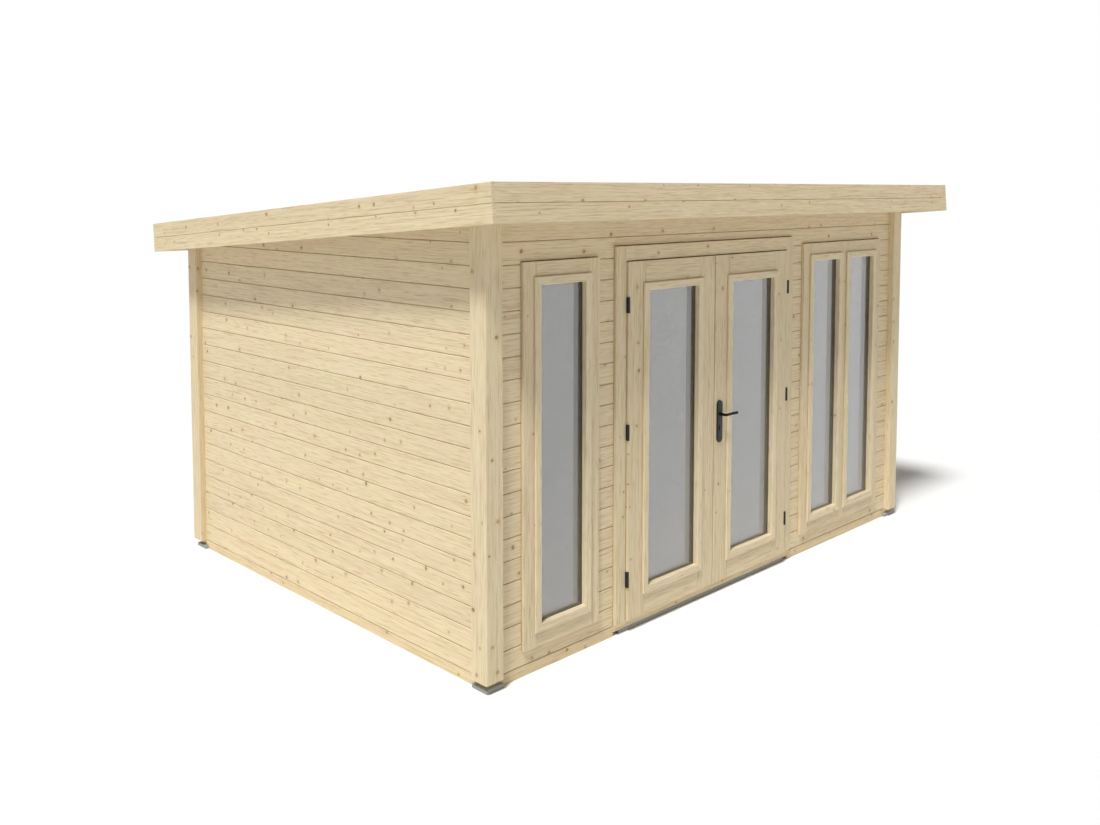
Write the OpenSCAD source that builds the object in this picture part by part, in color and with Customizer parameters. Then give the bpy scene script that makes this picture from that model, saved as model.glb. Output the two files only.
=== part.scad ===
// Garden office pod with a pent roof: board walls between proud corner posts,
// a glazed double door, one narrow window left of it and a double one right of it.
// X runs along the front, Y to the back, Z up. The origin is under the middle of the roof.

/* [Walls] */
// Boards between the left corner and the single window
pier_left = 229; // [160:1:600]
// Boards between the single window and the door frame
pier_left_mid = 132; // [60:1:500]
// Boards between the door frame and the double window
pier_right_mid = 129; // [60:1:500]
// Boards between the double window and the right corner
pier_right = 235; // [160:1:600]
// Depth of the pod over the faces of the front and back boards
wall_d = 2966; // [2000:1:4000]
// Height of the boards over the door frame, at their outer face
over_door = 282; // [180:1:500]
// Side of a square corner post
post_size = 112; // [90:1:140]
// How far a corner post stands proud of the boards
post_proud = 40; // [10:1:45]
// Radius of a post's outer edge
post_round = 10; // [3:1:20]

/* [Base and floor] */
// Height of the base rails
base_h = 54; // [40:1:90]
// Side of a square pad under a corner
pad_size = 112; // [100:1:160]
// Thickness of the pads
pad_h = 22; // [10:1:30]
// How far a corner pad stands back from the faces of its post
pad_inset = 20; // [5:1:35]
// How far the pad under the door sill stops short of each end of the sill
sill_pad_inset = 50; // [20:1:200]
// Height of the door sill and of the floor above the ground
sill_top = 66; // [56:1:120]
// Thickness of the floor boards
floor_t = 21; // [16:1:30]
// Width of a floor joist
joist_w = 45; // [35:1:70]
// Number of floor joists
joist_count = 8; // [4:1:14]

/* [Roof] */
// Slope of the roof, falling to the back, in degrees
roof_pitch = 4.4; // [2:0.1:7]
// From the face of the front boards to the top edge of the front fascia
front_overhang = 284; // [150:1:500]
// From the face of the side boards to the outside of the side fascia
side_overhang = 215; // [100:1:400]
// From the face of the back boards to the back edge of the roof
back_overhang = 171; // [110:1:400]
// Height of one of the two boards that make up a fascia
fascia_board_h = 93.5; // [85:0.5:130]
// Thickness of a fascia board
fascia_t = 20; // [16:1:30]
// How far the fascia stands above the roof covering
kerb_h = 12; // [5:1:30]
// Thickness of the roof covering
membrane_t = 3; // [2:1:8]
// Thickness of the roof boards
deck_t = 19; // [16:1:28]
// Width of a purlin
purlin_w = 45; // [35:1:70]
// Depth of a purlin
purlin_h = 140; // [100:1:145]
// Number of purlins between the front and the back wall
purlin_count = 3; // [2:1:5]

/* [Windows] */
// Visible width of the glass in one window light
light_w = 321; // [250:1:500]
// Width of a window frame's uprights
window_stile_w = 90; // [70:1:120]
// Height of a window frame's top and bottom rails
window_rail_h = 94; // [70:1:120]
// Width of the middle upright of the double window
mullion_w = 99; // [70:1:140]
// Height of the boards under the windows, base rail included
window_z = 134; // [100:1:600]
// Height of the boards over the windows, up to the level of the door frame's top
window_drop = 51; // [10:1:400]
// How far the window and door frames stand proud of the boards
frame_proud = 18; // [8:1:30]

/* [Glazing] */
// Width of a glazing bead, seen from the front
bead_w = 44; // [34:1:60]
// How much of a glazing bead lies on the face of its frame
bead_lap = 20; // [10:1:25]
// How far a glazing bead stands proud of its frame
bead_proud = 13; // [8:1:20]
// Depth of a glazing bead behind the face of its frame
bead_seat = 18; // [8:1:20]
// Chamfer on the edges of a glazing bead
bead_chamfer = 5; // [1:1:7]
// Thickness of one pane of glass
pane_t = 4; // [3:1:6]
// Thickness of a double glazed unit
unit_t = 24; // [16:1:28]
// Gap round the edge of a double glazed unit
unit_gap = 3; // [2:1:6]
// Width of the spacer bar between two panes
spacer_w = 16; // [8:1:17]

/* [Doors] */
// Width of one door leaf
leaf_w = 769; // [600:1:950]
// Height of a door leaf
leaf_h = 1977; // [1700:1:2200]
// Thickness of a door leaf
leaf_t = 56; // [52:1:70]
// How far a door leaf stands proud of the boards
leaf_proud = 31; // [24:1:38]
// Width of a leaf's uprights and rails
leaf_stile_w = 139; // [110:1:170]
// Width of the door frame's face
jamb_face = 80; // [60:1:120]
// Gap between the two leaves
meeting_gap = 7; // [7:0.5:12]
// Gap between a leaf and the frame round it
edge_gap = 5; // [5:0.5:8]
// Gap between the back of a leaf and the stop behind it
stop_gap = 6; // [5:0.5:8]
// How far the stop reaches in from the frame
stop_lap = 20; // [12:1:30]

/* [Door hardware] */
// Radius of a hinge barrel
hinge_r = 8; // [7:0.5:11]
// Height of a hinge
hinge_h = 85; // [60:1:120]
// Height of the bottom hinge above the foot of the leaf
hinge_low = 230; // [120:1:400]
// Height of the middle hinge above the foot of the leaf
hinge_mid = 1047; // [700:1:1300]
// Depth of the top hinge below the head of the leaf
hinge_top = 234; // [120:1:400]
// Radius of a hinge pin
pin_r = 4; // [3:0.5:5]
// Running clearance of a pin or neck in its bore
run_clear = 0.06; // [0.02:0.01:0.1]
// Thickness of a hinge flag
flag_t = 2; // [1.5:0.1:2.4]
// Width of a hinge flag from the pin to its inner edge
flag_w = 43; // [25:1:48]
// Height of the lever above the foot of the leaf
lever_z = 1027; // [800:1:1200]
// From the closing edge of the leaf to the lever's spindle
lever_backset = 46; // [35:1:70]
// Length of the lever from its spindle to its tip
lever_l = 118; // [90:1:150]
// How far the lever's grip stands off the leaf
lever_reach = 52; // [35:1:70]
// Radius of the lever's grip
lever_r = 8; // [6:0.5:10]
// Radius of the lever's neck
neck_r = 9; // [6:0.5:12]
// Height of a handle plate
plate_h = 254; // [200:1:300]
// Width of a handle plate
plate_w = 50; // [36:1:56]
// Thickness of a handle plate
plate_t = 10; // [5:1:14]
// How far the middle of a handle plate lies below the lever
plate_drop = 44; // [20:1:60]
// How far the key cylinder lies below the lever
key_drop = 79; // [50:1:92]
// Radius of the key cylinder
key_r = 8.5; // [6:0.5:10]
// How far the key cylinder stands off its plate
key_proud = 6; // [3:1:12]
// Side of the lever's square spindle
spindle_w = 8; // [6:1:10]

/* [Hidden] */
$fn = 48;
wall_t = post_size - post_proud;
sight = bead_w - bead_lap;
rebate_d = bead_seat + unit_t;
spindle_clear = 2;
spindle_hole_r = neck_r + spindle_clear;
hinge_clear = 1.5;
washer_gap = 0.5;
pin_cap = 5;
key_lobe = 0.6 * key_r;
lever_bend = 1.25 * lever_r;
pin_end_gap = 1;
pin_l = hinge_h / 2 - pin_cap - pin_end_gap;
saw_kerf = 1;
roof_seat = 0.3;

// Front layout from left to right, measured from the face of the left boards.
window_inset = window_stile_w + sight;
single_w = light_w + 2 * window_inset;
double_w = 2 * light_w + 2 * window_inset + mullion_w + 2 * sight;
frame_w = 2 * (jamb_face + edge_gap + leaf_w) + meeting_gap;
wall_w = pier_left + single_w + pier_left_mid + frame_w + pier_right_mid + double_w + pier_right;
single_x = pier_left - wall_w / 2;
door_x = single_x + single_w + pier_left_mid;
double_x = door_x + frame_w + pier_right_mid;
left_x = -wall_w / 2;
right_x = wall_w / 2;

// Heights, measured from the ground.
leaf_z = sill_top + edge_gap;
door_head_z = leaf_z + leaf_h + edge_gap;
door_top = door_head_z + jamb_face;
window_top = door_top - window_drop;
window_h = window_top - window_z;
light_h = window_h - 2 * (window_rail_h + sight);
front_top = door_top + over_door;
joist_h = sill_top - floor_t;

// The roof lies in a frame of its own, tilted to the back, with its origin on the top
// front edge of the front fascia.
roof_under = kerb_h + membrane_t + deck_t;
fascia_h = 2 * fascia_board_h;
roof_l = (front_overhang + wall_d + back_overhang) / cos(roof_pitch);
roof_w = wall_w + 2 * side_overhang;
deck_w = roof_w - 2 * fascia_t;
front_reach = front_overhang + fascia_h * sin(roof_pitch);
back_reach = wall_d + back_overhang;
front_y = (front_reach - back_reach) / 2;
back_y = front_y + wall_d;
wall_line = (front_overhang + roof_under * sin(roof_pitch)) / cos(roof_pitch);
roof_top = front_top + wall_line * sin(roof_pitch) + roof_under * cos(roof_pitch);
purlin_step = (wall_d - 2 * wall_t) / cos(roof_pitch) / (purlin_count + 1);
first_purlin = wall_line + wall_t / cos(roof_pitch);
inner_purlins = [for (i = [1 : purlin_count]) first_purlin + i * purlin_step - purlin_w / 2];
edge_purlins = [fascia_t, roof_l - fascia_t - purlin_w];

// The leaves, the frame round them and the axis of their hinges.
leaf_y = front_y - leaf_proud;
frame_y = front_y - frame_proud;
frame_d = wall_t + frame_proud;
leaf_x = door_x + jamb_face + edge_gap;
door_mid = door_x + frame_w / 2;
stop_y = leaf_y + leaf_t + stop_gap;
axis_x = -edge_gap / 2;
leaf_light_w = leaf_w - 2 * (leaf_stile_w + sight);
leaf_light_h = leaf_h - 2 * (leaf_stile_w + sight);
hinge_heights = [hinge_low, hinge_mid, leaf_h - hinge_top];

function deck_z(y) = front_top - (y - front_y) * tan(roof_pitch);

// Shapes shared by several pieces

module block(x, y, z, w, d, h) {
    translate([x, y, z]) cube([w, d, h]);
}

// A wall or post piece whose top lies under the sloping roof boards, a hair's breadth clear.
module under_roof(x, y, z, w, d) {
    translate([x, 0, 0])
        rotate([90, 0, 90])
            linear_extrude(w)
                polygon([[y, z], [y + d, z], [y + d, deck_z(y + d) - roof_seat],
                    [y, deck_z(y) - roof_seat]]);
}

module roof_frame() {
    translate([0, front_y - front_overhang, roof_top]) rotate([-roof_pitch, 0, 0]) children();
}

module purlins(starts) {
    roof_frame()
        for (start = starts)
            block(-deck_w / 2, start, -roof_under - purlin_h, deck_w, purlin_w, purlin_h);
}

// Children are drawn at the front left corner and mirrored to the other three.
module at_corners() {
    for (side = [0, 1])
        for (end = [0, 1])
            translate([(2 * side - 1) * wall_w / 2, end == 0 ? front_y : back_y, 0])
                mirror([side, 0, 0])
                    mirror([0, end, 0])
                        children();
}

// Section of a square timber with its outer corner, at the origin, rounded.
module round_corner_square(side, r) {
    translate([r, 0]) square([side - r, side]);
    translate([0, r]) square([side, side - r]);
    translate([r, r]) circle(r);
}

// Upright of a glazed frame, rebated at its right edge for the glass.
module stile_bar(face, thick, h) {
    linear_extrude(h)
        polygon([[0, 0], [face, 0], [face, rebate_d], [face + sight, rebate_d],
            [face + sight, thick], [0, thick]]);
}

// Middle upright, rebated at both edges.
module mullion_bar(face, thick, h) {
    block(0, 0, 0, face, rebate_d, h);
    block(-sight, rebate_d, 0, face + 2 * sight, thick - rebate_d, h);
}

// Bottom rail of a glazed frame, rebated at its top edge, fitted between two uprights.
module rail_bar(face, thick, clear_w) {
    block(0, 0, 0, clear_w, rebate_d, face);
    block(sight, rebate_d, 0, clear_w - 2 * sight, thick - rebate_d, face + sight);
}

module turned_over(h) {
    translate([0, 0, h]) mirror([0, 0, 1]) children();
}

// One side of a mitred bead, standing on the left edge of a light.
module bead_side(light_len, past) {
    intersection() {
        translate([0, 0, -bead_w])
            linear_extrude(light_len + 2 * bead_w)
                polygon([[0, bead_seat], [0, bead_chamfer - bead_proud],
                    [-bead_chamfer, -bead_proud], [bead_chamfer - bead_w, -bead_proud],
                    [-bead_w, bead_chamfer - bead_proud], [-bead_w, 0], [-sight, 0],
                    [-sight, bead_seat]]);
        translate([0, bead_seat + past, 0])
            rotate([90, 0, 0])
                linear_extrude(bead_seat + bead_proud + 2 * past)
                    polygon([[0, 0], [-bead_w - past, -bead_w - past],
                        [-bead_w - past, light_len + bead_w + past], [0, light_len]]);
    }
}

// Four mitred beads round a light whose lower left corner is at the origin.
module bead_ring(w, h) {
    for (turn = [0, 1])
        translate([turn * w, 0, turn * h])
            rotate([0, turn * 180, 0]) {
                bead_side(h, saw_kerf);
                mirror([1, 0, -1]) bead_side(w, saw_kerf);
            }
}

// The two panes of a double glazed unit.
module glass_unit(w, h) {
    edge = sight - unit_gap;
    for (depth = [bead_seat, rebate_d - pane_t])
        block(-edge, depth, -edge, w + 2 * edge, pane_t, h + 2 * edge);
}

module spacer_ring(w, h) {
    edge = sight - unit_gap;
    inner = edge - spacer_w;
    depth = bead_seat + pane_t;
    difference() {
        block(-edge, depth, -edge, w + 2 * edge, unit_t - 2 * pane_t, h + 2 * edge);
        block(-inner, depth - saw_kerf, -inner, w + 2 * inner, unit_t, h + 2 * inner);
    }
}

module at_lights() {
    lights = [single_x + window_inset, double_x + window_inset,
        double_x + window_inset + light_w + mullion_w + 2 * sight];
    for (x = lights)
        translate([x, frame_y, window_z + window_rail_h + sight]) children();
}

// Children are drawn with the hinge edge of a leaf at x = 0 and its face at y = 0.
module on_left_leaf() {
    translate([leaf_x, leaf_y, leaf_z]) children();
}

module on_right_leaf() {
    translate([2 * door_mid - leaf_x, leaf_y, leaf_z]) mirror([1, 0, 0]) children();
}

module on_leaf_light() {
    translate([leaf_stile_w + sight, 0, leaf_stile_w + sight]) children();
}

// Hinge edge and closing edge of a leaf; the hinge edge is relieved round each barrel.
module leaf_stiles() {
    relief = hinge_r + hinge_clear;
    difference() {
        stile_bar(leaf_stile_w, leaf_t, leaf_h);
        for (z = hinge_heights)
            block(-saw_kerf, -saw_kerf, z - hinge_h / 2 - hinge_clear, relief + axis_x + saw_kerf,
                relief + saw_kerf, hinge_h + 2 * hinge_clear);
    }
    translate([leaf_w, 0, 0]) mirror([1, 0, 0]) stile_bar(leaf_stile_w, leaf_t, leaf_h);
}

module leaf_rails() {
    clear_w = leaf_w - 2 * leaf_stile_w;
    translate([leaf_stile_w, 0, 0]) rail_bar(leaf_stile_w, leaf_t, clear_w);
    translate([leaf_stile_w, 0, 0]) turned_over(leaf_h) rail_bar(leaf_stile_w, leaf_t, clear_w);
}

// Lower half of each hinge: barrel, pin and the flag on the door frame.
module hinges_on_frame() {
    half = hinge_h / 2;
    for (z = hinge_heights)
        translate([axis_x, 0, z]) {
            translate([0, 0, -half]) cylinder(r = hinge_r, h = half);
            cylinder(r = pin_r, h = pin_l);
            block(-edge_gap / 2, 0, -half, flag_t, flag_w, half);
        }
}

// Upper half of each hinge: bored barrel and the flag on the leaf.
module hinges_on_leaf() {
    upper = hinge_h / 2 - washer_gap;
    for (z = hinge_heights)
        translate([axis_x, 0, z + washer_gap])
            difference() {
                union() {
                    cylinder(r = hinge_r, h = upper);
                    block(edge_gap / 2 - flag_t, 0, 0, flag_t, flag_w, upper);
                }
                translate([0, 0, -saw_kerf])
                    cylinder(r = pin_r + run_clear, h = upper - pin_cap + saw_kerf);
            }
}

// Children are drawn round the lever's spindle, on the outside of the leaf and,
// mirrored, on its inside.
module both_faces() {
    translate([leaf_w - lever_backset, 0, lever_z]) {
        children();
        translate([0, leaf_t, 0]) mirror([0, 1, 0]) children();
    }
}

module lever_half() {
    grip_x = lever_l - lever_bend - lever_r;
    rotate([90, 0, 0]) cylinder(r = neck_r, h = lever_reach - lever_bend);
    translate([-lever_bend, lever_bend - lever_reach, 0])
        rotate([0, 0, -90])
            rotate_extrude(angle = 90)
                translate([lever_bend, 0]) circle(lever_r);
    translate([-lever_bend, -lever_reach, 0]) rotate([0, -90, 0]) cylinder(r = lever_r, h = grip_x);
    translate([-lever_bend - grip_x, -lever_reach, 0]) sphere(lever_r);
}

// Base and floor

module corner_pads() {
    start = pad_inset - post_proud;
    color("dimgray") at_corners() block(start, start, 0, pad_size, pad_size, pad_h);
}

module sill_pad() {
    color("dimgray")
        block(door_x + sill_pad_inset, front_y, 0, frame_w - 2 * sill_pad_inset, wall_t, pad_h);
}

module base_side_rails() {
    color("burlywood")
        difference() {
            for (x = [left_x, right_x - wall_t]) block(x, front_y, 0, wall_t, wall_d, base_h);
            corner_pads();
        }
}

module base_cross_rails() {
    clear_x = left_x + wall_t;
    right_rail_x = door_x + frame_w;
    color("burlywood")
        difference() {
            union() {
                block(clear_x, front_y, 0, door_x - clear_x, wall_t, base_h);
                block(right_rail_x, front_y, 0, right_x - wall_t - right_rail_x, wall_t, base_h);
                block(clear_x, back_y - wall_t, 0, wall_w - 2 * wall_t, wall_t, base_h);
            }
            corner_pads();
        }
}

module floor_joists() {
    first_x = left_x + pad_size + pad_inset - post_proud;
    step = (-2 * first_x - joist_w) / (joist_count - 1);
    color("burlywood")
        for (i = [0 : joist_count - 1])
            block(first_x + i * step, front_y + wall_t, 0, joist_w, wall_d - 2 * wall_t, joist_h);
}

module floor_deck() {
    color("wheat")
        block(left_x + wall_t, front_y + wall_t, joist_h, wall_w - 2 * wall_t, wall_d - 2 * wall_t,
            floor_t);
}

// Posts and walls

module corner_posts() {
    color("wheat")
        intersection() {
            at_corners()
                translate([-post_proud, -post_proud, base_h])
                    linear_extrude(roof_top) round_corner_square(post_size, post_round);
            under_roof(left_x - post_proud, front_y - post_proud, 0, wall_w + 2 * post_proud,
                wall_d + 2 * post_proud);
        }
}

module side_wall(x) {
    color("wheat")
        difference() {
            under_roof(x, front_y + wall_t, base_h, wall_t, wall_d - 2 * wall_t);
            purlins(inner_purlins);
        }
}

module left_wall() {
    side_wall(left_x);
}

module right_wall() {
    side_wall(right_x - wall_t);
}

module back_wall() {
    color("wheat") under_roof(left_x + wall_t, back_y - wall_t, base_h, wall_w - 2 * wall_t, wall_t);
}

module front_wall_piers() {
    color("wheat") {
        rise = door_top - base_h;
        block(left_x + wall_t, front_y, base_h, pier_left - wall_t, wall_t, rise);
        block(door_x - pier_left_mid, front_y, base_h, pier_left_mid, wall_t, rise);
        block(door_x + frame_w, front_y, base_h, pier_right_mid, wall_t, rise);
        block(right_x - pier_right, front_y, base_h, pier_right - wall_t, wall_t, rise);
    }
}

// Boards under and over the windows.
module front_wall_infill() {
    color("wheat")
        for (window = [[single_x, single_w], [double_x, double_w]]) {
            block(window[0], front_y, base_h, window[1], wall_t, window_z - base_h);
            block(window[0], front_y, window_top, window[1], wall_t, window_drop);
        }
}

module front_wall_head() {
    color("wheat") under_roof(left_x + wall_t, front_y, door_top, wall_w - 2 * wall_t, wall_t);
}

// Door frame

module door_sill() {
    color("burlywood") block(door_x, front_y, pad_h, frame_w, wall_t, sill_top - pad_h);
}

module jamb_bar() {
    stop_d = stop_y - frame_y;
    linear_extrude(door_top - sill_top)
        polygon([[0, 0], [jamb_face, 0], [jamb_face, stop_d], [jamb_face + stop_lap, stop_d],
            [jamb_face + stop_lap, frame_d], [0, frame_d]]);
}

module door_jambs() {
    color("burlywood")
        for (side = [0, 1])
            translate([door_x + side * frame_w, frame_y, sill_top]) mirror([side, 0, 0]) jamb_bar();
}

module door_head() {
    clear_w = frame_w - 2 * jamb_face;
    stop_d = stop_y - frame_y;
    color("burlywood")
        translate([door_x + jamb_face, frame_y, door_head_z]) {
            block(0, 0, 0, clear_w, stop_d, jamb_face);
            block(stop_lap, stop_d, -stop_lap, clear_w - 2 * stop_lap, frame_d - stop_d,
                jamb_face + stop_lap);
        }
}

// Windows

module window_stiles() {
    color("burlywood") {
        for (window = [[single_x, single_w], [double_x, double_w]])
            for (side = [0, 1])
                translate([window[0] + side * window[1], frame_y, window_z])
                    mirror([side, 0, 0])
                        stile_bar(window_stile_w, frame_d, window_h);
        translate([double_x + window_inset + light_w + sight, frame_y, window_z])
            mullion_bar(mullion_w, frame_d, window_h);
    }
}

module window_rails() {
    clear_w = light_w + 2 * sight;
    color("burlywood")
        at_lights()
            translate([-sight, 0, -sight - window_rail_h]) {
                rail_bar(window_rail_h, frame_d, clear_w);
                turned_over(window_h) rail_bar(window_rail_h, frame_d, clear_w);
            }
}

module window_glass() {
    color("lightgray", 0.5) at_lights() glass_unit(light_w, light_h);
}

module window_spacers() {
    color("black") at_lights() spacer_ring(light_w, light_h);
}

module window_beads() {
    color("wheat") at_lights() bead_ring(light_w, light_h);
}

// Doors

module frame_hinges() {
    color("black") {
        on_left_leaf() hinges_on_frame();
        on_right_leaf() hinges_on_frame();
    }
}

module left_door_stiles() {
    color("burlywood") on_left_leaf() leaf_stiles();
}

module left_door_rails() {
    color("burlywood") on_left_leaf() leaf_rails();
}

module left_door_glass() {
    color("lightgray", 0.5) on_left_leaf() on_leaf_light() glass_unit(leaf_light_w, leaf_light_h);
}

module left_door_spacer() {
    color("black") on_left_leaf() on_leaf_light() spacer_ring(leaf_light_w, leaf_light_h);
}

module left_door_beads() {
    color("wheat") on_left_leaf() on_leaf_light() bead_ring(leaf_light_w, leaf_light_h);
}

module left_door_hinges() {
    color("black") on_left_leaf() hinges_on_leaf();
}

module right_door_stiles() {
    color("burlywood")
        on_right_leaf()
            difference() {
                leaf_stiles();
                translate([leaf_w - lever_backset, leaf_t + saw_kerf, lever_z])
                    rotate([90, 0, 0])
                        cylinder(r = spindle_hole_r, h = leaf_t + 2 * saw_kerf);
            }
}

module right_door_rails() {
    color("burlywood") on_right_leaf() leaf_rails();
}

module right_door_glass() {
    color("lightgray", 0.5) on_right_leaf() on_leaf_light() glass_unit(leaf_light_w, leaf_light_h);
}

module right_door_spacer() {
    color("black") on_right_leaf() on_leaf_light() spacer_ring(leaf_light_w, leaf_light_h);
}

module right_door_beads() {
    color("wheat") on_right_leaf() on_leaf_light() bead_ring(leaf_light_w, leaf_light_h);
}

module right_door_hinges() {
    color("black") on_right_leaf() hinges_on_leaf();
}

// A round-ended plate on each face of the closing edge, bored for the lever's neck.
module handle_plates() {
    end_z = (plate_h - plate_w) / 2;
    color("black")
        on_right_leaf()
            both_faces()
                rotate([90, 0, 0])
                    linear_extrude(plate_t)
                        difference() {
                            translate([0, -plate_drop]) {
                                square([plate_w, 2 * end_z], center = true);
                                for (end = [-1, 1]) translate([0, end * end_z]) circle(plate_w / 2);
                            }
                            circle(neck_r + run_clear);
                        }
}

module lock_cylinder() {
    color("silver")
        on_right_leaf()
            both_faces()
                translate([0, -plate_t, -key_drop])
                    rotate([90, 0, 0])
                        linear_extrude(key_proud) {
                            circle(key_r);
                            translate([-key_lobe, -2 * key_r]) square([2 * key_lobe, 2 * key_r]);
                            translate([0, -2 * key_r]) circle(key_lobe);
                        }
}

module door_lever() {
    color("black")
        on_right_leaf() {
            both_faces() lever_half();
            block(leaf_w - lever_backset - spindle_w / 2, 0, lever_z - spindle_w / 2, spindle_w, leaf_t,
                spindle_w);
        }
}

// Roof

module roof_purlins() {
    color("burlywood") purlins(concat(edge_purlins, inner_purlins));
}

module roof_deck() {
    color("wheat")
        roof_frame()
            block(-deck_w / 2, fascia_t, -roof_under, deck_w, roof_l - 2 * fascia_t, deck_t);
}

// The covering laps over the back fascia, so that water runs off there.
module roof_membrane() {
    color("darkslategray")
        roof_frame()
            block(-deck_w / 2, fascia_t, -kerb_h - membrane_t, deck_w, roof_l - fascia_t, membrane_t);
}

module side_fascias(top, h) {
    color("wheat")
        roof_frame()
            for (x = [-roof_w / 2, roof_w / 2 - fascia_t]) block(x, 0, top - h, fascia_t, roof_l, h);
}

module side_fascia_upper() {
    side_fascias(0, fascia_board_h);
}

module side_fascia_lower() {
    side_fascias(-fascia_board_h, fascia_board_h);
}

module end_fascia_upper() {
    lowered = kerb_h + membrane_t;
    color("wheat")
        roof_frame() {
            block(-deck_w / 2, 0, -fascia_board_h, deck_w, fascia_t, fascia_board_h);
            block(-deck_w / 2, roof_l - fascia_t, -fascia_board_h, deck_w, fascia_t,
                fascia_board_h - lowered);
        }
}

module end_fascia_lower() {
    color("wheat")
        roof_frame()
            for (y = [0, roof_l - fascia_t])
                block(-deck_w / 2, y, -fascia_h, deck_w, fascia_t, fascia_board_h);
}

corner_pads();
sill_pad();
base_side_rails();
base_cross_rails();
floor_joists();
floor_deck();
corner_posts();
left_wall();
right_wall();
back_wall();
front_wall_piers();
front_wall_infill();
front_wall_head();
door_sill();
door_jambs();
door_head();
window_stiles();
window_rails();
window_glass();
window_spacers();
window_beads();
frame_hinges();
left_door_stiles();
left_door_rails();
left_door_glass();
left_door_spacer();
left_door_beads();
left_door_hinges();
right_door_stiles();
right_door_rails();
right_door_glass();
right_door_spacer();
right_door_beads();
right_door_hinges();
handle_plates();
lock_cylinder();
door_lever();
roof_purlins();
roof_deck();
roof_membrane();
side_fascia_upper();
side_fascia_lower();
end_fascia_upper();
end_fascia_lower();
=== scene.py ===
import math
import random

import bmesh
import bpy
from mathutils import Matrix, Vector


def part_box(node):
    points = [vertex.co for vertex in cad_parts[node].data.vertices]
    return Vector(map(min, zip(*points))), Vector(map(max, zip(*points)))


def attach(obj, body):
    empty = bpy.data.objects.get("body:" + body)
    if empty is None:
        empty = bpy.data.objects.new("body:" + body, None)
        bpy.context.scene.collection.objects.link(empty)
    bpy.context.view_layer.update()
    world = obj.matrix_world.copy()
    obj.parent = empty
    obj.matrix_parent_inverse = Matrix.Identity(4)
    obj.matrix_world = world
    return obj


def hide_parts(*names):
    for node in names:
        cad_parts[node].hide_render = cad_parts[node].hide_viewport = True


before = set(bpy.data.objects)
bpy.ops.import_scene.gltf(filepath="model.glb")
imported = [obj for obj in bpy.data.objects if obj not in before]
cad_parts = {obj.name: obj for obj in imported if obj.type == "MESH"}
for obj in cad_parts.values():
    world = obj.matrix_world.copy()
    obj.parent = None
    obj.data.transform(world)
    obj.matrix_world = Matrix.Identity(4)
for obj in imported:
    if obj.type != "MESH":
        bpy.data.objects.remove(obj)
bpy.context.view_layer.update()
scene = bpy.context.scene
scene.view_settings.view_transform = "Standard"


# Studio: a white floor that runs out of sight, one sun from the left with a soft edge and a weak
# even sky. The camera stands off the front left corner, a little below the height of the roof.
def linear(hex_code):
    """An sRGB hex value as the linear colour that Blender's sockets take."""
    parts = [int(hex_code[i:i + 2], 16) / 255 for i in (1, 3, 5)]
    return [c / 12.92 if c <= 0.04045 else ((c + 0.055) / 1.055) ** 2.4 for c in parts] + [1.0]


def wire(tree, node, inputs):
    """Gives a node's inputs what they take: a socket, the first output of another node, or a value."""
    for socket, value in inputs.items():
        if isinstance(value, bpy.types.Node):
            value = value.outputs[0]
        if isinstance(value, bpy.types.NodeSocket):
            tree.links.new(value, node.inputs[socket])
        else:
            node.inputs[socket].default_value = value


def add(tree, kind, inputs=None, **settings):
    """Adds a node, sets its properties and wires its inputs."""
    made = tree.nodes.new("ShaderNode" + kind)
    for name, value in settings.items():
        setattr(made, name, value)
    wire(tree, made, inputs or {})
    return made


def blank_finish(name):
    """A new material, with its node tree and the surface shader in it."""
    made = bpy.data.materials.new(name)
    made.use_nodes = True
    return made, made.node_tree, made.node_tree.nodes["Principled BSDF"]


def seen(tree):
    """1 on rays from the camera, off a mirror or through glass, 0 on rays that only carry light."""
    path = add(tree, "LightPath").outputs
    direct = add(tree, "Math", {0: path["Is Camera Ray"], 1: path["Is Glossy Ray"]}, operation="MAXIMUM")
    return add(tree, "Math", {0: direct, 1: path["Is Transmission Ray"]}, operation="MAXIMUM")


sky_level = 0.23
sky = bpy.data.worlds.new("even_sky")
sky.use_nodes = True
scene.world = sky
sky_tree = sky.node_tree
sky_strength = add(sky_tree, "MapRange", {"Value": seen(sky_tree), "To Min": sky_level, "To Max": 1.0})
wire(sky_tree, sky_tree.nodes["Background"], {"Color": linear("#ffffff"), "Strength": sky_strength})

white_floor, floor_tree, floor_paint = blank_finish("matt white floor paint")
floor_white = add(floor_tree, "Mix", {0: seen(floor_tree), 6: linear("#f8f8f7"), 7: linear("#f9f9f9")},
                  data_type="RGBA")
wire(floor_tree, floor_paint, {"Base Color": floor_white.outputs[2], "Roughness": 1.0,
                               "Specular IOR Level": 0.0})
ground_reach, ground_drop = 60, 0.0005
ground = bmesh.new()
bmesh.ops.create_grid(ground, x_segments=1, y_segments=1, size=ground_reach)
bmesh.ops.translate(ground, verts=ground.verts, vec=(0, 0, -ground_drop))
ground_mesh = bpy.data.meshes.new("studio_floor")
ground.to_mesh(ground_mesh)
ground.free()
ground_mesh.materials.append(white_floor)
studio_floor = bpy.data.objects.new("studio_floor", ground_mesh)
scene.collection.objects.link(studio_floor)

sun = bpy.data.lights.new("soft_sun", "SUN")
sun.energy = 2.96
sun.angle = math.radians(10)
sun_way = Vector((0.44, 0.186, -0.8786))
sun_lamp = bpy.data.objects.new("soft_sun", sun)
sun_lamp.rotation_euler = sun_way.to_track_quat("-Z", "Y").to_euler()
scene.collection.objects.link(sun_lamp)

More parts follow.
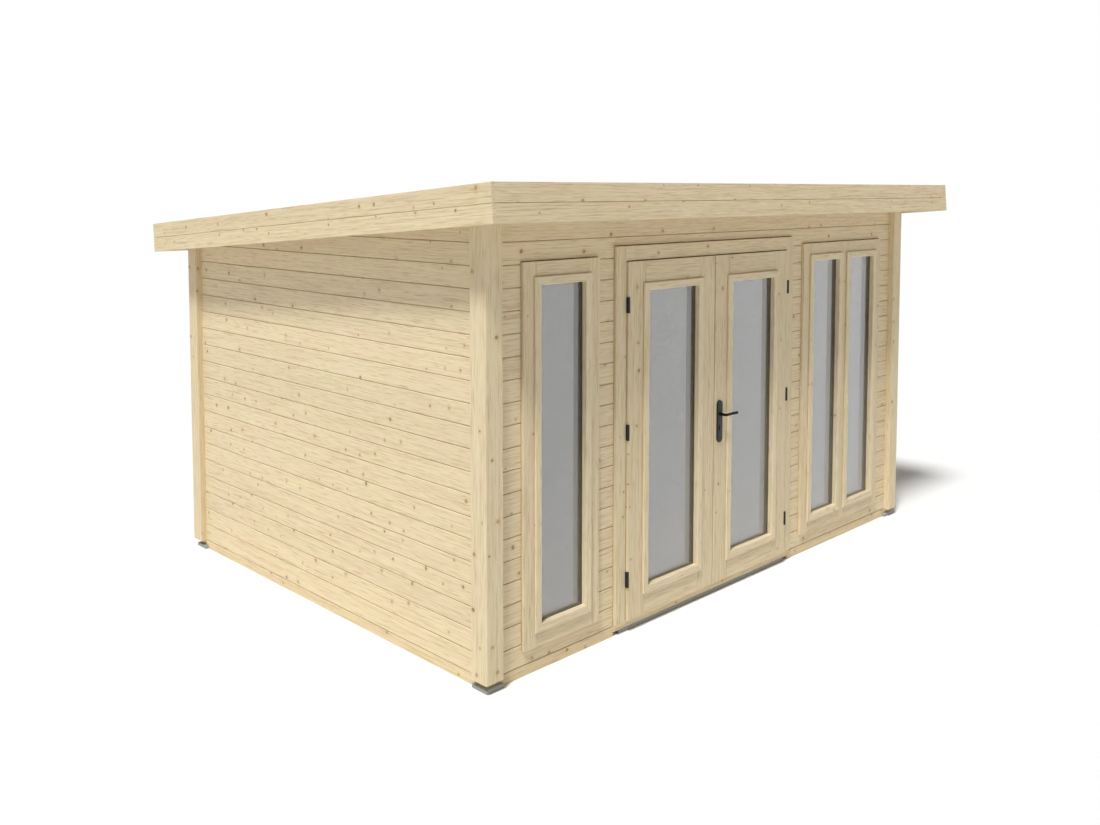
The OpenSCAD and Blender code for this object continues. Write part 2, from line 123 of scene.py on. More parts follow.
camera_tilt, camera_turn = 3.733, 44.614
camera = bpy.data.cameras.new("camera")
camera.sensor_width = 36
camera.lens = 34.22
camera.shift_y = -0.14
camera.clip_end = 300
tripod = bpy.data.objects.new("camera", camera)
tripod.location = (-5.2462, -5.1400, 2.4321)
tripod.rotation_euler = (math.radians(90 - camera_tilt), 0, math.radians(-camera_turn))
scene.collection.objects.link(tripod)
scene.camera = tripod


# Levelling pads: a slab of grey recycled plastic under each corner and a long one under the door
# sill. They are sawn from sheet, lie loose on the ground and carry the base rails.
MM = 0.001
ACROSS = {"x": (1, 2), "y": (0, 2), "z": (0, 1)}
yard, log_reach = random.Random(4), 40


def bundle():
    """An empty mesh for lengths of stock, with a map along the grain and a tone for each length."""
    made = bmesh.new()
    made.loops.layers.uv.new("grain")
    made.faces.layers.float.new("tone")
    return made


def rectangle(low, high):
    """A section's outline from its lowest corner, which is number 0, round to number 3."""
    return [(low[0], low[1]), (high[0], low[1]), (high[0], high[1]), (low[0], high[1])]


def ease(radius, *corners):
    """One radius for the named corners of an outline."""
    return {corner: radius for corner in corners}


def points_in(geom):
    """The vertices among what an operator gives back."""
    return [part for part in geom if isinstance(part, bmesh.types.BMVert)]


def round_edges(stack, edges, radius, steps):
    """Rounds edges off, or chamfers them where there is only one step."""
    bmesh.ops.bevel(stack, geom=edges, offset=radius, offset_type="OFFSET", segments=steps, profile=0.5,
                    affect="EDGES", material=-1)


def close_up(stack):
    """Fills the open edges of a mesh."""
    bmesh.ops.holes_fill(stack, edges=[e for e in stack.edges if e.is_boundary], sides=0)


def stow(made, stack):
    """Moves all of one mesh into another."""
    held = bpy.data.meshes.new("held")
    made.to_mesh(held)
    made.free()
    stack.from_mesh(held)
    bpy.data.meshes.remove(held)


def new_figure():
    """Where in the log a length is sawn, along and across the grain in metres, and its tone."""
    return yard.uniform(0, log_reach), yard.uniform(0, log_reach), yard.random()


def saw(stack, outline, run, start, end, eased=None, steps=2, cuts=(), place=None, figure=None):
    """Adds one length of stock to a bundle: an outline across its run, drawn out from start to end, in mm.

    eased gives the radius of each rounded corner of the outline, by its number in the outline, cuts
    are the planes that trim the length, and place moves it from the bench into the pod."""
    touching, end_grain = 1e-6, 0.8
    one = bundle()
    axis = "xyz".index(run)
    a, b = ACROSS[run]
    corners = []
    for point in outline:
        spot = Vector((0, 0, 0))
        spot[axis], spot[a], spot[b] = start * MM, point[0] * MM, point[1] * MM
        corners.append(one.verts.new(spot))
    drawn = bmesh.ops.extrude_face_region(one, geom=[one.faces.new(corners)])["geom"]
    along = Vector((0, 0, 0))
    along[axis] = (end - start) * MM
    bmesh.ops.translate(one, verts=points_in(drawn), vec=along)
    bmesh.ops.recalc_face_normals(one, faces=one.faces)
    for radius in sorted(set((eased or {}).values())):
        marked = [outline[i] for i, r in eased.items() if r == radius]
        edges = [e for e in one.edges if any(
            all(abs(v.co[a] - p[0] * MM) < touching and abs(v.co[b] - p[1] * MM) < touching for v in e.verts)
            for p in marked)]
        round_edges(one, edges, radius * MM, steps)
    for point, normal in cuts:
        bmesh.ops.bisect_plane(one, geom=one.verts[:] + one.edges[:] + one.faces[:],
                               plane_co=Vector(point) * MM, plane_no=normal, clear_outer=True)
        close_up(one)
    bmesh.ops.recalc_face_normals(one, faces=one.faces)
    one.normal_update()
    start_u, start_v, tone = figure or new_figure()
    grain, tones = one.loops.layers.uv["grain"], one.faces.layers.float["tone"]
    for face in one.faces:
        face[tones] = tone
        n = face.normal
        u, v = (axis, b) if abs(n[a]) > abs(n[b]) else (axis, a)
        if abs(n[axis]) > end_grain:
            u, v = a, b
        for corner in face.loops:
            corner[grain].uv = (corner.vert.co[u] + start_u, corner.vert.co[v] + start_v)
    if place is not None:
        bmesh.ops.transform(one, matrix=place, verts=one.verts)
        bmesh.ops.recalc_face_normals(one, faces=one.faces)
    stow(one, stack)


def fit(name, stack, material, body, slot, *nodes):
    """Makes a bundle one piece, which rides on a body and stands for CAD nodes."""
    mesh = bpy.data.meshes.new(name)
    stack.to_mesh(mesh)
    stack.free()
    mesh.materials.append(material)
    piece = bpy.data.objects.new(name, mesh)
    scene.collection.objects.link(piece)
    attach(piece, body)
    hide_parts(*nodes)


def node_box(node):
    """Lowest and highest corner of a CAD node in mm."""
    low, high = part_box(node)
    return low / MM, high / MM


def mottled(name, kind, grain_mm, tones, rough, stops=(0, 1), relief_mm=0, relief_strength=0, shine=None,
            **pattern):
    """A finish in two tones that follow one pattern, whose grain has one real size, or one along each axis.

    The roughness is one number or a range that follows the pattern too, the relief is how deep the
    pattern is pressed, and shine holds what else the surface takes."""
    made, tree, face = blank_finish(name)
    sizes = grain_mm if isinstance(grain_mm, tuple) else (grain_mm,) * 3
    whole = add(tree, "TexCoord").outputs["Object"]
    spot = add(tree, "Mapping", {"Vector": whole, "Scale": [1 / (size * MM) for size in sizes]})
    grain = add(tree, kind, {"Vector": spot, "Scale": 1.0, **pattern})
    blend = add(tree, "ValToRGB", {0: grain})
    for mark, stop, tone in zip(blend.color_ramp.elements, stops, tones):
        mark.position = stop
        mark.color = linear(tone)
    if isinstance(rough, tuple):
        rough = add(tree, "MapRange", {"Value": grain, "To Min": rough[0], "To Max": rough[1]})
    wire(tree, face, {"Base Color": blend, "Roughness": rough, **(shine or {})})
    if relief_mm:
        press = add(tree, "Bump", {"Height": grain, "Distance": relief_mm * MM, "Strength": relief_strength})
        wire(tree, face, {"Normal": press})
    return made


# Recycled plastic sheet: matt and mid grey, with paler and darker crumbs pressed into the surface.
pad_plastic = mottled("recycled plastic sheet", "TexVoronoi", grain_mm=6, tones=("#a6a7a4", "#90918e"),
                      rough=0.7, relief_mm=0.4, relief_strength=0.5)
pad_side, pad_edge = 112, 3
pad_low, pad_high = node_box("corner_pads")
pads = bundle()
for x in (pad_low.x, pad_high.x - pad_side):
    for y in (pad_low.y, pad_high.y - pad_side):
        saw(pads, rectangle((x, 0), (x + pad_side, pad_high.z)), "y", y, y + pad_side,
            eased=ease(pad_edge, 0, 1, 2, 3))
fit("corner_levelling_pads", pads, pad_plastic, "pod", "pads", "corner_pads")
strip_low, strip_high = node_box("sill_pad")
strip = bundle()
saw(strip, rectangle(strip_low.yz, strip_high.yz), "x", strip_low.x, strip_high.x,
    eased=ease(pad_edge, 0, 1, 2, 3))
fit("sill_levelling_pad", strip, pad_plastic, "pod", "pads", "sill_pad")


# Base rails: squared spruce laid flat on the ground and halved over the corner pads. The side rails
# run the full depth, the cross rails fit between them and stop at the door sill.
def spruce(name, pale, straw, latewood, dark="#b79f76", knots=0.46, knot_mm=11, ring_mm=8, rough=0.6):
    """Planed softwood: straw-coloured growth rings along the board, with small brown knots that the
    rings flow round, and a slightly different tone on each length."""
    made, tree, surface = blank_finish(name)
    grain = add(tree, "UVMap", uv_map="grain")
    tone = add(tree, "Attribute", attribute_name="tone").outputs["Fac"]
    spot = add(tree, "SeparateXYZ", {0: grain}).outputs

    # A branch may have grown in each cell of a loose grid. Knots are measured in cells, and the reach
    # of their edge and of the bent rings round them in radii of the knot.
    branch_mm, least_knot, no_knot, knot_rim = 150, 0.4, 0.001, (0.6, 1.4)
    knot_edge, bend_edge, bend_share = (1.15, 0.7), (3.2, 0.6), 0.55
    branch = add(tree, "TexVoronoi", {"Vector": grain, "Scale": 1 / (branch_mm * MM), "Randomness": 0.55},
                 voronoi_dimensions="2D").outputs
    luck = add(tree, "SeparateColor", {0: branch["Color"]}).outputs
    grown = add(tree, "Math", {0: luck[0], 1: 1 - knots}, operation="GREATER_THAN")
    reach = add(tree, "MapRange", {"Value": luck[1], "To Min": least_knot * knot_mm / branch_mm,
                                   "To Max": knot_mm / branch_mm})
    size = add(tree, "Math", {0: grown, 1: reach, 2: no_knot}, operation="MULTIPLY_ADD")
    ragged = add(tree, "TexNoise", {"Vector": grain, "Scale": 1 / (knot_mm * MM), "Detail": 1.0})
    rim = add(tree, "MapRange", {"Value": ragged, "To Min": knot_rim[0], "To Max": knot_rim[1]})
    span = add(tree, "Math", {0: branch["Distance"], 1: rim}, operation="MULTIPLY")
    off = add(tree, "Math", {0: span, 1: size}, operation="DIVIDE")
    knot, flow = [add(tree, "MapRange", {"Value": off, "From Min": outer, "From Max": inner},
                      interpolation_type="SMOOTHSTEP") for outer, inner in (knot_edge, bend_edge)]
    heart = add(tree, "SeparateXYZ", {0: branch["Position"]}).outputs
    away = add(tree, "Math", {0: spot["Y"], 1: heart["Y"]}, operation="SUBTRACT")
    push = add(tree, "Math", {0: away, 1: flow}, operation="MULTIPLY")
    bent = add(tree, "Math", {0: push, 1: -bend_share, 2: spot["Y"]}, operation="MULTIPLY_ADD")

    # The rings sway 20 mm in about 900 mm of length, and each length shows another slice of the log.
    slices, sway_scale, sway_mm = 37, (1.1, 6.0, 1.0), 20
    log = add(tree, "Math", {0: tone, 1: slices}, operation="MULTIPLY")
    sway_spot = add(tree, "Mapping", {"Vector": grain, "Scale": sway_scale})
    sway = add(tree, "TexNoise", {"Vector": sway_spot, "Scale": 1.0, "Detail": 1.0})
    line = add(tree, "Math", {0: sway, 1: sway_mm * MM, 2: bent}, operation="MULTIPLY_ADD")

    def streaks(long_mm, wide_mm, **detail):
        """Noise drawn out along the grain, in streaks of a real length and width."""
        along = add(tree, "Math", {0: spot["X"], 1: 1 / (long_mm * MM)}, operation="MULTIPLY")
        across = add(tree, "Math", {0: line, 1: 1 / (wide_mm * MM)}, operation="MULTIPLY")
        place = add(tree, "CombineXYZ", {0: along, 1: across, 2: log})
        return add(tree, "TexNoise", {"Vector": place, "Scale": 1.0, **detail})

    rings = streaks(long_mm=400, wide_mm=ring_mm, Detail=2.5, Roughness=0.6)
    # Fibres are finer than a pixel, so they are drawn 3 mm apart to show at all.
    fibres = streaks(long_mm=90, wide_mm=3, Detail=1.0)
    fibre_share = 0.4
    figure = add(tree, "Mix", {0: fibre_share, 2: rings, 3: fibres})
    dashes = streaks(long_mm=120, wide_mm=6, Detail=1.0)
    resin = add(tree, "MapRange", {"Value": dashes, "From Min": 0.56, "From Max": 0.74, "To Max": 0.5},
                interpolation_type="SMOOTHSTEP")

    wood = add(tree, "ValToRGB", {0: figure})
    late_stop, straw_stop, pale_stop = 0.34, 0.46, 0.62
    wood.color_ramp.elements[0].position, wood.color_ramp.elements[1].position = late_stop, pale_stop
    wood.color_ramp.elements[0].color, wood.color_ramp.elements[1].color = linear(latewood), linear(pale)
    wood.color_ramp.elements.new(straw_stop).color = linear(straw)
    patch_long_mm, patch_wide_mm = 300, 90
    patch_scale = (1 / (patch_long_mm * MM), 1 / (patch_wide_mm * MM), 1.0)
    patch_spot = add(tree, "Mapping", {"Vector": grain, "Scale": patch_scale})
    patches = add(tree, "TexNoise", {"Vector": patch_spot, "Scale": 1.0, "Detail": 1.0})
    hue = add(tree, "MapRange", {"Value": patches, "From Min": 0.3, "From Max": 0.7, "To Min": 0.492,
                                 "To Max": 0.508})
    shuffled = add(tree, "Math", {0: log, 1: 1.0}, operation="FRACT")
    bright = add(tree, "MapRange", {"Value": shuffled, "To Min": 0.965, "To Max": 1.025})
    toned = add(tree, "HueSaturation", {"Hue": hue, "Value": bright, "Color": wood})
    streaked = add(tree, "Mix", {0: resin, 6: toned, 7: linear(dark)}, data_type="RGBA").outputs[2]
    warmth = 0.3
    warm_share = add(tree, "Math", {0: flow, 1: warmth}, operation="MULTIPLY")
    warmed = add(tree, "Mix", {0: warm_share, 6: streaked, 7: linear("#cba873")}, data_type="RGBA").outputs[2]
    knot_wood = add(tree, "ValToRGB", {0: off})
    knot_wood.color_ramp.elements[0].color = linear("#98754b")
    knot_wood.color_ramp.elements[1].color = linear("#735436")
    depth = add(tree, "MapRange", {"Value": luck[2], "To Min": 0.3, "To Max": 0.8})
    knot_share = add(tree, "Math", {0: knot, 1: depth}, operation="MULTIPLY")
    colour = add(tree, "Mix", {0: knot_share, 6: warmed, 7: knot_wood}, data_type="RGBA")

    gloss = add(tree, "MapRange", {"Value": figure, "From Min": 0.3, "From Max": 0.7,
                                   "To Min": rough + 0.08, "To Max": rough - 0.05})
    relief_mm = 0.5
    relief = add(tree, "Bump", {"Height": figure, "Distance": relief_mm * MM, "Strength": 0.3})
    wire(tree, surface, {"Base Color": colour.outputs[2], "Roughness": gloss, "Specular IOR Level": 0.3,
                         "Normal": relief})
    return made


# Sawn spruce: duller and a little rougher than the planed boards, with the same straw colour.
sawn_spruce = spruce("sawn spruce", "#e4d2ae", "#dbc7a1", "#c9b38a", rough=0.75)
rail_arris, wall_t = 3, 72
rail_low, rail_high = node_box("base_side_rails")
front_face, back_face = rail_low.y, rail_high.y
pad_reach, pad_top = pad_low.y + pad_side - front_face, pad_high.z


def base_rail(stack, near, run, start, end, start_lap, end_lap):
    """One rail, halved for as far as each of its ends laps over a pad."""
    figure = new_figure()
    for first, last, foot in ((start, start + start_lap, pad_top), (start + start_lap, end - end_lap, 0),
                              (end - end_lap, end, pad_top)):
        if last > first:
            saw(stack, rectangle((near, foot), (near + wall_t, rail_high.z)), run, first, last,
                eased=ease(rail_arris, 2, 3), figure=figure)


rails = bundle()
for x in (rail_low.x, rail_high.x - wall_t):
    base_rail(rails, x, "y", front_face, back_face, pad_reach, pad_reach)
fit("side_base_rails", rails, sawn_spruce, "pod", "joists", "base_side_rails")
sill_low, sill_high = node_box("door_sill")
inner_left, inner_right = rail_low.x + wall_t, rail_high.x - wall_t
pad_lap = pad_reach - wall_t
cross = bundle()
base_rail(cross, front_face, "x", inner_left, sill_low.x, pad_lap, 0)
base_rail(cross, front_face, "x", sill_high.x, inner_right, 0, pad_lap)
base_rail(cross, back_face - wall_t, "x", inner_left, inner_right, pad_lap, pad_lap)
fit("cross_base_rails", cross, sawn_spruce, "pod", "joists", "base_cross_rails")


# Floor joists: sawn spruce on edge, laid front to back between the cross rails and nailed from
# outside. They carry the floor boards.
joist_w, joist_count, joist_arris = 45, 8, 2
joist_low, joist_high = node_box("floor_joists")
joist_step = (joist_high.x - joist_low.x - joist_w) / (joist_count - 1)
joists = bundle()
for i in range(joist_count):
    x = joist_low.x + i * joist_step
    saw(joists, rectangle((x, 0), (x + joist_w, joist_high.z)), "y", joist_low.y, joist_high.y,
        eased=ease(joist_arris, 0, 1, 2, 3))
fit("joists", joists, sawn_spruce, "pod", "joists", "floor_joists")


# Floor boards: planed spruce, tongued and grooved, laid across the joists and secretly nailed. Their
# top edges are lightly chamfered, so that each joint shows as a fine line.
# Floor spruce: yellower than the walls, with the dull gloss of a board that is walked on.
floor_spruce = spruce("planed spruce floor boards", "#e2cb9c", "#d8be8c", "#c3a673", knots=0.4, rough=0.5)
floor_pitch, floor_chamfer = 116, 1.5
deck_low, deck_high = node_box("floor_deck")
floor_stack = bundle()
y = deck_low.y
while y < deck_high.y:
    far = min(y + floor_pitch, deck_high.y)
    saw(floor_stack, rectangle((y, deck_low.z), (far, deck_high.z)), "x", deck_low.x, deck_high.x,
        eased=ease(floor_chamfer, 2, 3), steps=1)
    y = far
fit("floor_boards", floor_stack, floor_spruce, "pod", "floor", "floor_deck")


# Corner posts: 112 mm square spruce, planed, with a rounded outer edge. They stand on the base rails
# over the pads, proud of the boards, and are cut to the slope of the roof at the top.
# Post spruce: a little greyer than the boards, with fewer knots.
post_spruce = spruce("planed spruce posts", "#e6d6b5", "#dfcda9", "#cfba91", knots=0.34)
post_side, post_round, post_arris, post_spare = 112, 10, 3, 50
roof_pitch = math.radians(4.4)
wall_top = node_box("front_wall_head")[1].z
deck_plane = ((0, front_face, wall_top), (0, math.sin(roof_pitch), math.cos(roof_pitch)))
post_low, post_high = node_box("corner_posts")
posts = bundle()
for i, x in enumerate((post_low.x, post_high.x - post_side)):
    for j, y in enumerate((post_low.y, post_high.y - post_side)):
        outer = {(0, 0): 0, (1, 0): 1, (1, 1): 2, (0, 1): 3}[(i, j)]
        saw(posts, rectangle((x, y), (x + post_side, y + post_side)), "z", post_low.z,
            post_high.z + post_spare, eased={**ease(post_arris, 0, 1, 2, 3), outer: post_round}, steps=4,
            cuts=[deck_plane])
fit("posts", posts, post_spruce, "pod", "posts", "corner_posts")


# Wall boards: planed spruce, tongued and grooved, 112 mm to the course and laid level from the base
# rail up. Chamfered edges leave a narrow dark groove between two courses, outside and inside.
# Wall spruce: pale and clean, with many small knots, and no two boards of quite one tone.
board_spruce = spruce("planed spruce wall boards", "#ead9b6", "#e2cfab", "#d0bb92")
course = 112
groove_w, groove_d, groove_chamfer = 3, 9, 2.6
least_top_board, board_spare, roof_clear = 40, 30, 1


def courses(foot, top):
    """Bottom and top of each course, where the last one takes up a remainder too low to be a board."""
    levels = []
    z = foot
    while z < top:
        levels.append([z, z + course])
        z += course
    if len(levels) > 1 and top - levels[-1][0] < least_top_board:
        levels.pop()
    levels[-1][1] = top
    return levels


def lay_board(stack, face, run, start, end, z0, z1, grooved=True, chamfered=True, figure=None, cuts=()):
    """One board of a wall: grooved along its lower edges, unless it is cut off there by a frame, and
    chamfered along its upper ones, unless the roof or a frame cuts it there."""
    a0, a1 = face
    if grooved:
        low = z0 + groove_w
        outline = [(a0, low), (a0 + groove_d, low), (a0 + groove_d, z0), (a1 - groove_d, z0),
                   (a1 - groove_d, low), (a1, low), (a1, z1), (a0, z1)]
        lower, upper = (0, 5), (6, 7)
    else:
        outline = rectangle((a0, z0), (a1, z1))
        lower, upper = (), (2, 3)
    eased = ease(groove_chamfer, *lower, *(upper if chamfered else ()))
    saw(stack, outline, run, start, end, eased=eased, steps=1, figure=figure, cuts=cuts)


for name, node, run in (("left_wall_boards", "left_wall", "y"), ("right_wall_boards", "right_wall", "y"),
                        ("back_wall_boards", "back_wall", "x")):
    wall_low, wall_high = node_box(node)
    face = (wall_low.x, wall_high.x) if run == "y" else (wall_low.y, wall_high.y)
    ends = (wall_low.y, wall_high.y) if run == "y" else (wall_low.x, wall_high.x)
    lowest_top = wall_top - (wall_high.y - front_face) * math.tan(roof_pitch)
    wall_stack = bundle()
    levels = courses(wall_low.z, wall_high.z)
    for z0, z1 in levels:
        under_roof = z1 > lowest_top - roof_clear
        top_board = [z0, z1] == levels[-1]
        lay_board(wall_stack, face, run, ends[0], ends[1], z0, z1 + board_spare * top_board,
                  chamfered=not top_board, cuts=[deck_plane] if under_roof else ())
    fit(name, wall_stack, board_spruce, "pod", "boards", node)


# Front wall: the same boards in short lengths between the corner posts and the frames of the windows
# and the door, and in full lengths over them. A course keeps one board's figure right across.
single_window, door_frame, double_window = (-1774, -1225), (-1093, 622), (751, 1768)
window_foot, window_head, door_head_top = 134, 2082, 2133
front_faces = (front_face, front_face + wall_t)
joint_w = 4
pier_ends = [(inner_left, single_window[0] - joint_w), (single_window[1] + joint_w, door_frame[0] - joint_w),
             (door_frame[1] + joint_w, double_window[0] - joint_w), (double_window[1] + joint_w, inner_right)]
front_stack = bundle()
front_levels = courses(rail_high.z, wall_top)
for z0, z1 in front_levels:
    figure = new_figure()
    top_board = [z0, z1] == front_levels[-1]
    if z0 >= door_head_top:
        lay_board(front_stack, front_faces, "x", inner_left, inner_right, z0, z1 + board_spare * top_board,
                  chamfered=not top_board, figure=figure, cuts=[deck_plane] if top_board else ())
        continue
    for start, end in pier_ends:
        lay_board(front_stack, front_faces, "x", start, end, z0, z1, figure=figure)
    for opening, foot, head in ((single_window, window_foot, window_head),
                                (double_window, window_foot, window_head), (door_frame, 0, door_head_top)):
        left, right = opening[0] - joint_w, opening[1] + joint_w
        if z0 < foot:
            lay_board(front_stack, front_faces, "x", left, right, z0, foot, chamfered=False, figure=figure)
        if z1 > head:
            lay_board(front_stack, front_faces, "x", left, right, head + joint_w, z1, grooved=False,
                      figure=figure)
fit("front_wall_boards", front_stack, board_spruce, "pod", "boards", "front_wall_piers", "front_wall_infill",
    "front_wall_head")


# Joint tape: strips of dark foam, pressed between the boards and the sides and heads of the frames. They
# sit back from the face, so that the joint shows as a dark line.
# Compressed foam: a dead matt brown-black, with cells drawn coarser than they are, so that they show.
joint_foam = mottled("compressed foam tape", "TexVoronoi", grain_mm=4, tones=("#4b4740", "#35322d"),
                     rough=0.9)
tape_back, tape_d = 14, 40
tape = bundle()
for (left, right), foot, head in ((single_window, window_foot, window_head),
                                  (double_window, window_foot, window_head),
                                  (door_frame, rail_high.z, door_head_top)):
    tape_front = front_face + tape_back
    for x in (left - joint_w, right):
        saw(tape, rectangle((x, tape_front), (x + joint_w, tape_front + tape_d)), "z", foot, head)
    saw(tape, rectangle((tape_front, head), (tape_front + tape_d, head + joint_w)), "x", left - joint_w,
        right + joint_w)
fit("frame_joint_tape", tape, joint_foam, "pod", "membrane")


# Door frame: planed spruce, a sill on its own pad, two jambs and a head between them. Jambs and head
# are rebated, which leaves a stop behind the leaves, and a black rubber seal runs round the stop.
# Joinery spruce: picked timber, with finer rings than the boards and fewer, smaller knots.
joinery_spruce = spruce("planed spruce joinery", "#e8d8b6", "#dfcda9", "#cbb68e", knots=0.36, knot_mm=10,
                        ring_mm=7)
frame_proud, jamb_face, stop_lap = 18, 80, 20
stop_depth, frame_depth, joint_arris = 49, 90, 2
sill_arris, sill_round = 2, 5
frame_face = front_face - frame_proud
mirror_x = Matrix.Scale(-1, 4, (1, 0, 0))


def at(x, y, z):
    """A place in the pod, in mm."""
    return Matrix.Translation((x * MM, y * MM, z * MM))


def uprights_of(opening):
    """Where the left upright of a frame stands, and the mirror image of it at the right."""
    left, right = [at(x, frame_face, 0) for x in opening]
    return left, right @ mirror_x


sill_stack = bundle()
saw(sill_stack, rectangle(sill_low.yz, sill_high.yz), "x", sill_low.x, sill_high.x,
    eased={0: sill_arris, 3: sill_round})
fit("sill", sill_stack, joinery_spruce, "pod", "joinery", "door_sill")
jambs = bundle()
jamb_outline = [(0, 0), (jamb_face, 0), (jamb_face, stop_depth), (jamb_face + stop_lap, stop_depth),
                (jamb_face + stop_lap, frame_depth), (0, frame_depth)]
for place in uprights_of(door_frame):
    saw(jambs, jamb_outline, "z", sill_high.z, door_head_top, place=place, eased=ease(joint_arris, 0, 1, 3))
fit("jambs", jambs, joinery_spruce, "pod", "joinery", "door_jambs")
clear_left, clear_right = door_frame[0] + jamb_face, door_frame[1] - jamb_face
head_z = door_head_top - jamb_face
stop_face = frame_face + stop_depth
lintel = bundle()
figure = new_figure()
saw(lintel, rectangle((frame_face, head_z), (stop_face, door_head_top)), "x", clear_left, clear_right,
    eased=ease(joint_arris, 0, 3), figure=figure)
saw(lintel, rectangle((stop_face, head_z - stop_lap), (frame_face + frame_depth, door_head_top)), "x",
    clear_left + stop_lap, clear_right - stop_lap, eased=ease(joint_arris, 0, 1), figure=figure)
fit("lintel", lintel, joinery_spruce, "pod", "joinery", "door_head")

# Extruded rubber: near black and matt, with a faint bloom along the strip.
seal_rubber = mottled("extruded EPDM rubber", "TexNoise", grain_mm=30, tones=("#1a1a1a", "#2b2b2a"),
                      rough=0.75, Detail=3.0)
seal_w, seal_t, seal_round, seal_inset = 9, 4, 1.8, 6
seal_left, seal_right, seal_top = clear_left + seal_inset, clear_right - seal_inset, head_z - seal_inset
seal = bundle()
for x in (seal_left, seal_right - seal_w):
    saw(seal, rectangle((x, stop_face - seal_t), (x + seal_w, stop_face)), "z", sill_high.z, seal_top,
        eased=ease(seal_round, 0, 1), steps=3)
saw(seal, rectangle((stop_face - seal_t, seal_top - seal_w), (stop_face, seal_top)), "x", seal_left + seal_w,
    seal_right - seal_w, eased=ease(seal_round, 0, 3), steps=3)
fit("door_seal", seal, seal_rubber, "pod", "membrane")


# Window frames: planed spruce stiles the full height, with rails tenoned between them and one
# mullion in the double window. All are rebated for the glass from the front.
window_stile, window_rail, mullion_w = 90, 94, 99
light_w, sight, rebate, window_joint = 321, 24, 42, 1.2
light_h = window_head - window_foot - 2 * (window_rail + sight)


def stile_outline(face, thick):
    """Section of an upright, with its rebate for the glass on the right."""
    return [(0, 0), (face, 0), (face, rebate), (face + sight, rebate), (face + sight, thick), (0, thick)]


def lay_rails(stack, origin, face, thick, clear_w, height, hairline):
    """Bottom and top rail between two uprights, from the lower left corner of the clear width, with a
    hairline joint at each end."""
    x, y, z = origin
    for turned in (False, True):
        figure = new_figure()
        near, lip = (z, z + face), (z, z + face + sight)
        if turned:
            near, lip = (z + height - face, z + height), (z + height - face - sight, z + height)
        saw(stack, rectangle((y, near[0]), (y + rebate, near[1])), "x", x + hairline, x + clear_w - hairline,
            eased=ease(joint_arris, 0, 3), figure=figure)
        saw(stack, rectangle((y + rebate, lip[0]), (y + thick, lip[1])), "x", x + sight, x + clear_w - sight,
            eased=ease(joint_arris, 1, 2), figure=figure)


window_stack, rail_stack = bundle(), bundle()
upright = stile_outline(window_stile, frame_depth)
for window in (single_window, double_window):
    for place in uprights_of(window):
        saw(window_stack, upright, "z", window_foot, window_head, place=place,
            eased=ease(joint_arris, 0, 1, 4))
light_x = [single_window[0] + window_stile + sight, double_window[0] + window_stile + sight]
light_x.append(light_x[1] + light_w + mullion_w + 2 * sight)
mullion_x = light_x[1] + light_w + sight
saw(window_stack, [(0, 0), (mullion_w, 0), (mullion_w, rebate), (mullion_w + sight, rebate),
                   (mullion_w + sight, frame_depth), (-sight, frame_depth), (-sight, rebate), (0, rebate)],
    "z", window_foot, window_head, place=at(mullion_x, frame_face, 0), eased=ease(joint_arris, 0, 1, 4, 5))
for x in light_x:
    lay_rails(rail_stack, (x - sight, frame_face, window_foot), window_rail, frame_depth, light_w + 2 * sight,
              window_head - window_foot, window_joint)
fit("window_uprights", window_stack, joinery_spruce, "pod", "joinery", "window_stiles")
fit("window_cross_rails", rail_stack, joinery_spruce, "pod", "joinery", "window_rails")


# Glazing beads: planed spruce strips with an L-shaped section and rounded front edges, mitred at the
# corners of each light and pinned to the frame. They hold the glass in its rebate.
# Bead spruce: the palest and cleanest timber, with fine rings and hardly a knot.
bead_spruce = spruce("planed spruce beads", "#ebdcbd", "#e3d2af", "#d2be96", knots=0.15, knot_mm=8, ring_mm=6)
bead_w, bead_proud, bead_seat, bead_round, quirk = 44, 13, 18, 5, 3
bead_spare = 2 * bead_w
bead_outline = [(0, bead_seat), (0, -bead_proud), (-bead_w, -bead_proud), (-bead_w, -quirk),
                (quirk - bead_w, -quirk), (quirk - bead_w, 0), (-sight, 0), (-sight, bead_seat)]
swap_xz = Matrix(((0, 0, 1, 0), (0, 1, 0, 0), (1, 0, 0, 0), (0, 0, 0, 1)))


def bead_light(stack, place, w, h):
    """Four mitred beads round a light, whose lower left corner is at the origin of its place."""
    half_turn = at(w, 0, h) @ Matrix.Rotation(math.pi, 4, "Y")
    for turned in (Matrix.Identity(4), half_turn):
        for length, laid in ((h, Matrix.Identity(4)), (w, swap_xz)):
            mitres = [((0, 0, 0), (1, 0, -1)), ((0, 0, length), (1, 0, 1))]
            saw(stack, bead_outline, "z", -bead_spare, length + bead_spare, eased=ease(bead_round, 1, 2),
                steps=3, cuts=mitres, place=place @ turned @ laid)


light_z = window_foot + window_rail + sight
light_places = [at(x, frame_face, light_z) for x in light_x]
beads = bundle()
for place in light_places:
    bead_light(beads, place, light_w, light_h)
fit("window_glazing_beads", beads, bead_spruce, "pod", "beads", "window_beads")


